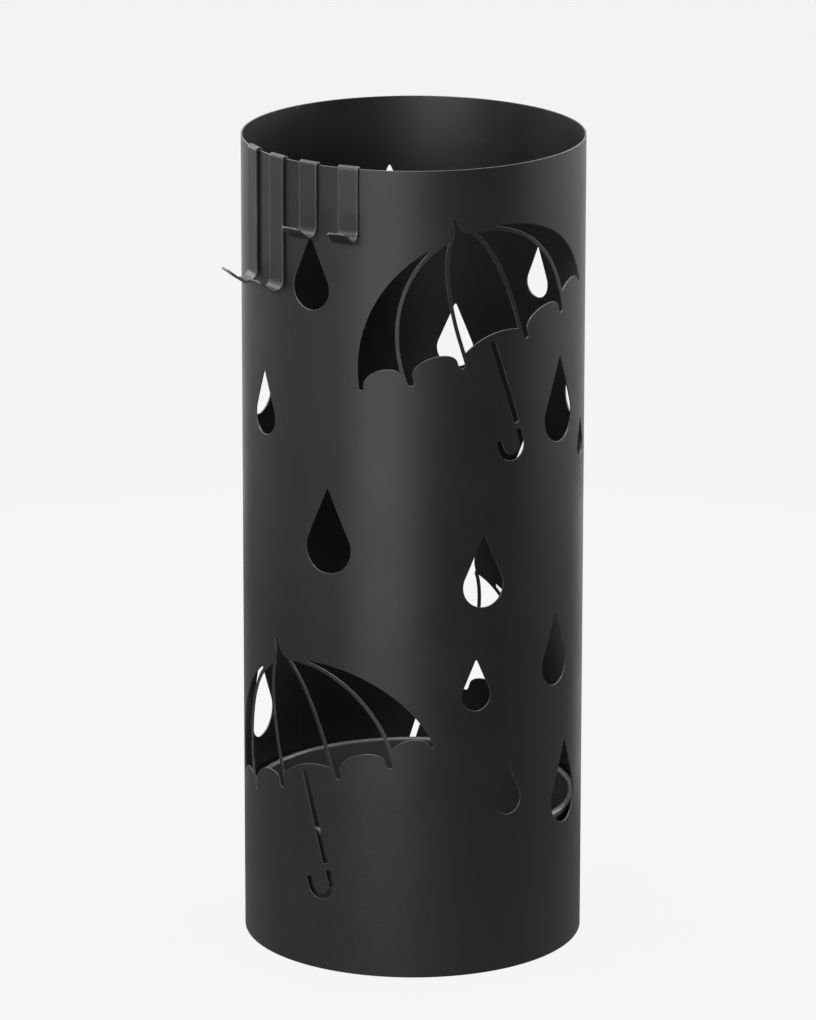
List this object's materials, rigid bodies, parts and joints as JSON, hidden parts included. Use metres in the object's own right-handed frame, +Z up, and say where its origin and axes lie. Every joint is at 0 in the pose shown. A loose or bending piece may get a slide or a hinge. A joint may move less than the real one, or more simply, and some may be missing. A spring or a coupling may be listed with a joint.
{
  "type": "umbrella stand",
  "caption": "Tall open metal tube with umbrella and raindrop cut-outs, a lift-out drip tray inside and strip hooks over its rim.",
  "frame": {"origin": "centre of the floor disc's underside, on the floor and on the tube's axis", "axes": "+Z up along the tube's axis; -Y is the front line, midway between the upper umbrella and the hooks"},
  "size_m": [0.1794, 0.1812, 0.4113],
  "materials": {
    "powder_coat": "satin black powder coat",
    "hook_coat": "satin black powder coat",
    "tray_plastic": "glossy black moulded plastic"
  },
  "bodies": {
    "stand": {"shell": "powder_coat", "base_plate": "powder_coat"},
    "tray": {"drip_tray": "tray_plastic"},
    "hook_1": {"long_hook_1": "hook_coat"},
    "hook_2": {"long_hook_2": "hook_coat"},
    "hook_3": {"short_hook_1": "hook_coat"},
    "hook_4": {"short_hook_2": "hook_coat"}
  },
  "joints": [
    {"name": "tray_lift", "type": "slide", "parent": "stand", "child": "tray", "axis": [0, 0, 1], "range_m": [0, 0.42]},
    {"name": "hook_1_lift", "type": "slide", "parent": "stand", "child": "hook_1", "axis": [0, 0, 1], "range_m": [0, 0.03]},
    {"name": "hook_2_lift", "type": "slide", "parent": "stand", "child": "hook_2", "axis": [0, 0, 1], "range_m": [0, 0.03]},
    {"name": "hook_3_lift", "type": "slide", "parent": "stand", "child": "hook_3", "axis": [0, 0, 1], "range_m": [0, 0.03]},
    {"name": "hook_4_lift", "type": "slide", "parent": "stand", "child": "hook_4", "axis": [0, 0, 1], "range_m": [0, 0.03]}
  ]
}
